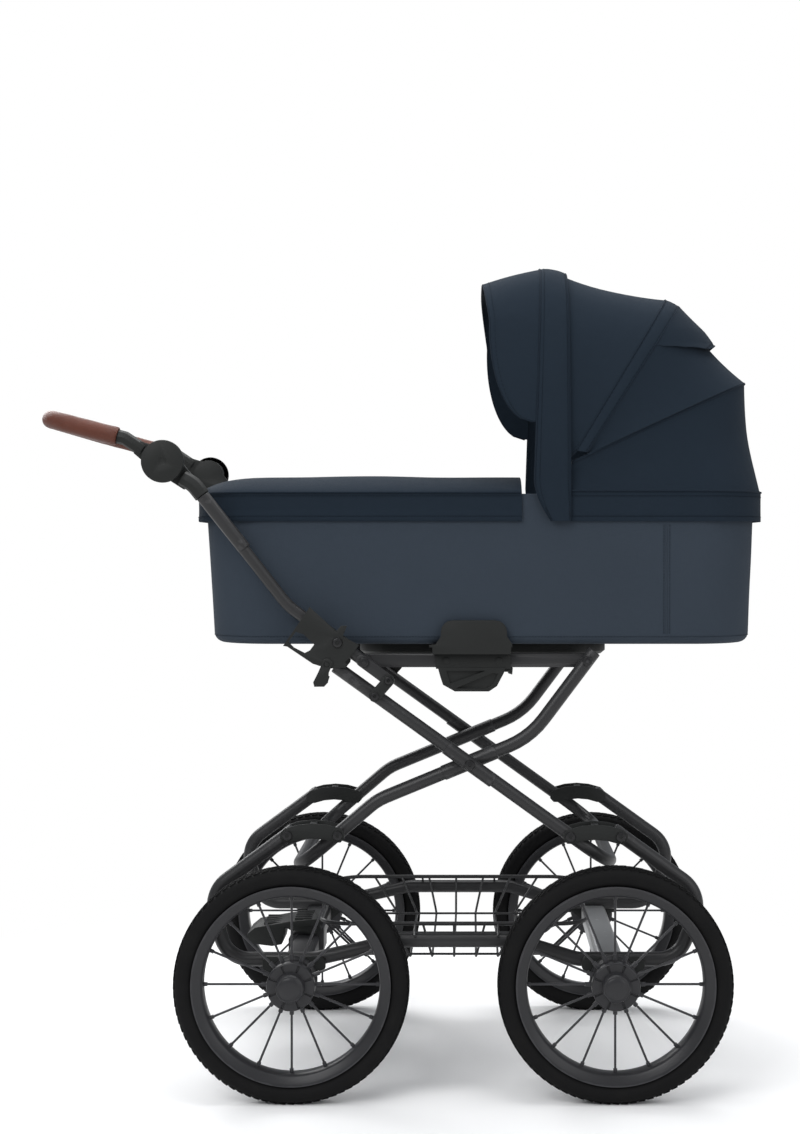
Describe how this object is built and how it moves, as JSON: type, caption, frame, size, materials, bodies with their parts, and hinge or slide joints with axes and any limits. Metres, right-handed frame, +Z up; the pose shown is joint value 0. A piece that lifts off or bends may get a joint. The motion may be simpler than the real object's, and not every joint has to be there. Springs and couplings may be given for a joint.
{
  "type": "pram",
  "caption": "Pram with a fabric carrycot and hood on a folding scissor chassis with spoked wheels, a wire basket and a tilting handle.",
  "frame": {"origin": "middle of the bounding box at floor height", "axes": "+Z up, +X from the handle end to the hood end, +Y away from the side that the picture shows"},
  "size_m": [1.13, 0.5976, 1.288],
  "materials": {
    "tyre_rubber": "satin black rubber with a fine tread",
    "wheel_paint": "charcoal satin paint",
    "frame_paint": "charcoal satin paint",
    "axle_silver": "light grey paint",
    "axle_dark": "charcoal satin paint",
    "moulded": "fine matt moulding",
    "grip_leather": "smooth brown leather with a stitched seam",
    "tub_cloth": "slate blue woven cloth",
    "hood_cloth": "dark navy woven cloth",
    "mattress_cotton": "white cotton cover"
  },
  "bodies": {
    "undercarriage": {"side_tube_near": "frame_paint", "side_tube_far": "frame_paint", "axle_rear": "axle_dark", "axle_front": "axle_silver", "basket": "frame_paint", "hub_bracket_rear_near": "moulded", "hub_bracket_rear_far": "moulded", "hub_bracket_front_near": "moulded", "hub_bracket_front_far": "moulded"},
    "wheel_rear_near": {"tyre_rear_near": "tyre_rubber", "rim_rear_near": "wheel_paint", "hub_rear_near": "wheel_paint", "hub_cap_rear_near": "wheel_paint"},
    "wheel_rear_far": {"tyre_rear_far": "tyre_rubber", "rim_rear_far": "wheel_paint", "hub_rear_far": "wheel_paint", "hub_cap_rear_far": "wheel_paint"},
    "wheel_front_near": {"tyre_front_near": "tyre_rubber", "rim_front_near": "wheel_paint", "hub_front_near": "wheel_paint", "hub_cap_front_near": "wheel_paint"},
    "wheel_front_far": {"tyre_front_far": "tyre_rubber", "rim_front_far": "wheel_paint", "hub_front_far": "wheel_paint", "hub_cap_front_far": "wheel_paint"},
    "brake": {"brake_pedal": "moulded"},
    "rear_links": {"link_rear_near": "moulded", "link_rear_far": "moulded"},
    "front_links": {"link_front_near": "moulded", "link_front_far": "moulded"},
    "frame_a": {"frame_a": "frame_paint"},
    "frame_b": {"frame_b": "frame_paint"},
    "seat": {"seat_frame": "frame_paint", "adapter_near": "moulded", "adapter_far": "moulded"},
    "tab_near": {"release_tab_near": "moulded"},
    "tab_far": {"release_tab_far": "moulded"},
    "push_frame": {"push_tube_near": "frame_paint", "push_tube_far": "frame_paint", "lock_bracket_near": "moulded", "lock_bracket_far": "moulded", "handle_joint_near": "moulded", "handle_joint_far": "moulded"},
    "lever_near": {"lock_lever_near": "moulded"},
    "lever_far": {"lock_lever_far": "moulded"},
    "braces": {"brace_near": "moulded", "brace_far": "moulded"},
    "handle": {"handle_arm_near": "moulded", "handle_arm_far": "moulded", "grip": "grip_leather"},
    "carrycot": {"tub": "tub_cloth", "mattress": "mattress_cotton", "cot_base": "moulded", "apron": "hood_cloth", "hood_rear": "hood_cloth"},
    "hood_front": {"hood_front_band": "hood_cloth", "hood_visor": "hood_cloth", "hood_panel_front": "hood_cloth"},
    "hood_mid": {"hood_mid_bow": "hood_cloth", "hood_panel_rear": "hood_cloth"}
  },
  "joints": [
    {"name": "wheel_rear_near_spin", "type": "hinge", "parent": "undercarriage", "child": "wheel_rear_near", "pos_m": [-0.16805, 0, 0.178], "axis": [0, 1, 0], "continuous": true},
    {"name": "wheel_rear_far_spin", "type": "hinge", "parent": "undercarriage", "child": "wheel_rear_far", "pos_m": [-0.16805, 0, 0.178], "axis": [0, 1, 0], "continuous": true},
    {"name": "wheel_front_near_spin", "type": "hinge", "parent": "undercarriage", "child": "wheel_front_near", "pos_m": [0.31995, 0, 0.178], "axis": [0, 1, 0], "continuous": true},
    {"name": "wheel_front_far_spin", "type": "hinge", "parent": "undercarriage", "child": "wheel_front_far", "pos_m": [0.31995, 0, 0.178], "axis": [0, 1, 0], "continuous": true},
    {"name": "brake_pedal_press", "type": "hinge", "parent": "undercarriage", "child": "brake", "pos_m": [-0.15405, 0, 0.211], "axis": [0, 1, 0], "range_deg": [-10, 0]},
    {"name": "rear_links_swing", "type": "hinge", "parent": "undercarriage", "child": "rear_links", "pos_m": [-0.17905, 0, 0.3955], "axis": [0, 1, 0], "range_deg": [0, 45.9]},
    {"name": "frame_b_swing", "type": "hinge", "parent": "rear_links", "child": "frame_b", "pos_m": [-0.10205, 0, 0.3955], "axis": [0, 1, 0], "range_deg": [-32, 0]},
    {"name": "frame_a_swing", "type": "hinge", "parent": "frame_b", "child": "frame_a", "pos_m": [0.10055, 0, 0.505], "axis": [0, 1, 0], "range_deg": [-31.9, 0]},
    {"name": "front_links_swing", "type": "hinge", "parent": "frame_a", "child": "front_links", "pos_m": [0.25395, 0, 0.3955], "axis": [0, 1, 0], "range_deg": [-28.2, 0]},
    {"name": "seat_level", "type": "hinge", "parent": "frame_b", "child": "seat", "pos_m": [0.28195, 0, 0.6615], "axis": [0, 1, 0], "range_deg": [-14.1, 0]},
    {"name": "push_fold", "type": "hinge", "parent": "seat", "child": "push_frame", "pos_m": [-0.06065, 0, 0.6615], "axis": [0, 1, 0], "range_deg": [0, 66]},
    {"name": "brace_swing", "type": "hinge", "parent": "push_frame", "child": "braces", "pos_m": [-0.02325, 0, 0.634], "axis": [0, 1, 0], "range_deg": [-29.8, 0]},
    {"name": "handle_tilt", "type": "hinge", "parent": "push_frame", "child": "handle", "pos_m": [-0.36755, 0, 0.968], "axis": [0, 1, 0], "range_deg": [-55, 5]},
    {"name": "lever_near_pull", "type": "hinge", "parent": "push_frame", "child": "lever_near", "pos_m": [-0.11742, 0, 0.65856], "axis": [0, 1, 0], "range_deg": [0, 14], "stiffness_Nm_per_rad": 0.6, "springref_deg": -2.86},
    {"name": "lever_far_pull", "type": "hinge", "parent": "push_frame", "child": "lever_far", "pos_m": [-0.11742, 0, 0.65856], "axis": [0, 1, 0], "range_deg": [0, 14], "stiffness_Nm_per_rad": 0.6, "springref_deg": -2.86},
    {"name": "tab_near_slide", "type": "slide", "parent": "seat", "child": "tab_near", "axis": [1, 0, 0], "range_m": [-0.003, 0], "stiffness_N_per_m": 600, "springref_m": 0.001},
    {"name": "tab_far_slide", "type": "slide", "parent": "seat", "child": "tab_far", "axis": [1, 0, 0], "range_m": [-0.003, 0], "stiffness_N_per_m": 600, "springref_m": 0.001},
    {"name": "carrycot_lift", "type": "slide", "parent": "seat", "child": "carrycot", "axis": [0, 0, 1], "range_m": [0, 0.25]},
    {"name": "hood_front_fold", "type": "hinge", "parent": "carrycot", "child": "hood_front", "pos_m": [0.23395, 0, 0.902], "axis": [0, 1, 0], "range_deg": [0, 45], "deforming": ["hood_panel_front"]},
    {"name": "hood_mid_fold", "type": "hinge", "parent": "carrycot", "child": "hood_mid", "pos_m": [0.23395, 0, 0.902], "axis": [0, 1, 0], "range_deg": [0, 22.6], "deforming": ["hood_panel_rear", "hood_panel_front"]}
  ],
  "couplings": [
    {"joint": "rear_links_swing", "follows": "push_fold", "ratio": 0.69289},
    {"joint": "frame_b_swing", "follows": "push_fold", "ratio": -0.48172},
    {"joint": "frame_a_swing", "follows": "push_fold", "ratio": -0.48032},
    {"joint": "front_links_swing", "follows": "push_fold", "ratio": -0.42374},
    {"joint": "seat_level", "follows": "push_fold", "ratio": -0.21117},
    {"joint": "brace_swing", "follows": "push_fold", "ratio": -0.4484},
    {"joint": "hood_mid_fold", "follows": "hood_front_fold", "ratio": 0.5}
  ]
}
